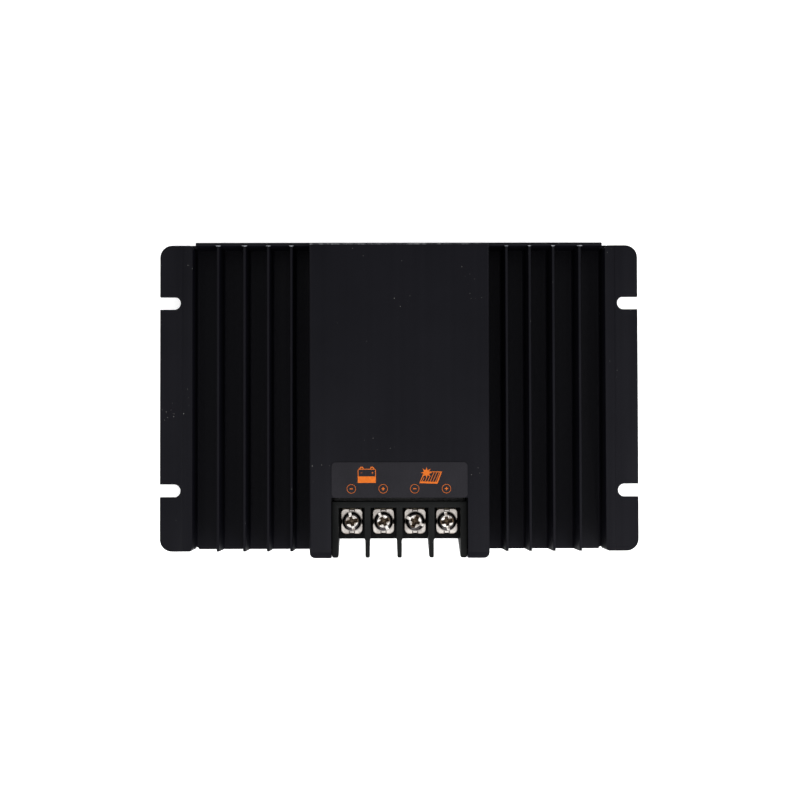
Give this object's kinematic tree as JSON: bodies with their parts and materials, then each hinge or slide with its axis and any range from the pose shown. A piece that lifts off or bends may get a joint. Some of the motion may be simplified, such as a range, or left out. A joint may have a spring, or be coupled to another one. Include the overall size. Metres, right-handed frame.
{
  "type": "solar charge controller",
  "caption": "Black finned aluminium charge controller with raised slotted ears, a hollow centre box and a screw terminal block in a notch at one end",
  "frame": {"origin": "middle of the flat back, under the centre of the overall outline", "axes": "+X to the right across the width, +Y away from the terminals, +Z out of the front"},
  "size_m": [0.1956, 0.1288, 0.0292],
  "materials": {
    "anodised_extrusion": "satin black anodised, fine extrusion lines",
    "end_plate": "satin black anodised sheet",
    "end_cap": "satin black anodised",
    "black_screw": "black oxide",
    "label": "matt dark grey film",
    "terminal_plastic": "moulded, fine texture",
    "clamp_nickel": "bright nickel plate",
    "screw_nickel": "bright nickel plate",
    "contact_brass": "tin plated brass",
    "board": "black solder mask",
    "insulator": "translucent film",
    "seal_rubber": "soft black",
    "thermal_pad": "soft grey pad",
    "board_screw": "zinc plated",
    "ferrite": "ferrite",
    "copper_wire": "enamelled copper",
    "chip_plastic": "moulded epoxy",
    "shunt_metal": "resistance alloy strip",
    "resistor_body": "glazed",
    "ceramic_body": "ceramic",
    "crystal_can": "plain metal can",
    "capacitor_sleeve": "shrink sleeve"
  },
  "bodies": {
    "root": {"chip_capacitors": "ceramic_body", "chip_resistors": "resistor_body", "circuit_board": "board", "clock_crystal": "crystal_can", "controller_chip": "chip_plastic", "current_shunt": "shunt_metal", "end_cap_screws": "black_screw", "gate_driver_chip": "chip_plastic", "heatsink_body": "anodised_extrusion", "inductor_core": "ferrite", "inductor_winding": "copper_wire", "input_capacitor_1": "capacitor_sleeve", "input_capacitor_2": "capacitor_sleeve", "insulating_sheet": "insulator", "label_plate": "label", "output_capacitor_1": "capacitor_sleeve", "output_capacitor_2": "capacitor_sleeve", "power_transistor_1": "chip_plastic", "power_transistor_2": "chip_plastic", "power_transistor_3": "chip_plastic", "power_transistor_4": "chip_plastic", "surge_suppressor": "chip_plastic", "temperature_sensor": "chip_plastic", "terminal_contact_1": "contact_brass", "terminal_contact_2": "contact_brass", "terminal_contact_3": "contact_brass", "terminal_contact_4": "contact_brass", "terminal_end_cap_left": "end_cap", "terminal_end_cap_right": "end_cap", "terminal_housing": "terminal_plastic", "thermal_pad": "thermal_pad", "top_end_plate": "end_plate", "top_plate_screws": "black_screw", "top_plate_side_screws": "black_screw", "transistor_screws": "board_screw", "tunnel_seal": "seal_rubber"},
    "clamp_1": {"clamp_plate_1": "clamp_nickel"},
    "screw_1": {"terminal_screw_1": "screw_nickel"},
    "clamp_2": {"clamp_plate_2": "clamp_nickel"},
    "screw_2": {"terminal_screw_2": "screw_nickel"},
    "clamp_3": {"clamp_plate_3": "clamp_nickel"},
    "screw_3": {"terminal_screw_3": "screw_nickel"},
    "clamp_4": {"clamp_plate_4": "clamp_nickel"},
    "screw_4": {"terminal_screw_4": "screw_nickel"}
  },
  "joints": [
    {"name": "clamp_1_lift", "type": "slide", "parent": "root", "child": "clamp_1", "axis": [0, 0, 1], "range_m": [0, 0.00209]},
    {"name": "screw_1_turn", "type": "hinge", "parent": "clamp_1", "child": "screw_1", "pos_m": [-0.0195, -0.0499, 0.018], "axis": [0, 0, 1], "range_deg": [0, 1080]},
    {"name": "clamp_2_lift", "type": "slide", "parent": "root", "child": "clamp_2", "axis": [0, 0, 1], "range_m": [0, 0.00209]},
    {"name": "screw_2_turn", "type": "hinge", "parent": "clamp_2", "child": "screw_2", "pos_m": [-0.0065, -0.0499, 0.018], "axis": [0, 0, 1], "range_deg": [0, 1080]},
    {"name": "clamp_3_lift", "type": "slide", "parent": "root", "child": "clamp_3", "axis": [0, 0, 1], "range_m": [0, 0.00209]},
    {"name": "screw_3_turn", "type": "hinge", "parent": "clamp_3", "child": "screw_3", "pos_m": [0.0065, -0.0499, 0.018], "axis": [0, 0, 1], "range_deg": [0, 1080]},
    {"name": "clamp_4_lift", "type": "slide", "parent": "root", "child": "clamp_4", "axis": [0, 0, 1], "range_m": [0, 0.00209]},
    {"name": "screw_4_turn", "type": "hinge", "parent": "clamp_4", "child": "screw_4", "pos_m": [0.0195, -0.0499, 0.018], "axis": [0, 0, 1], "range_deg": [0, 1080]}
  ],
  "couplings": [
    {"joint": "screw_1_turn", "follows": "clamp_1_lift", "rad_per_m": 8976},
    {"joint": "screw_2_turn", "follows": "clamp_2_lift", "rad_per_m": 8976},
    {"joint": "screw_3_turn", "follows": "clamp_3_lift", "rad_per_m": 8976},
    {"joint": "screw_4_turn", "follows": "clamp_4_lift", "rad_per_m": 8976}
  ]
}
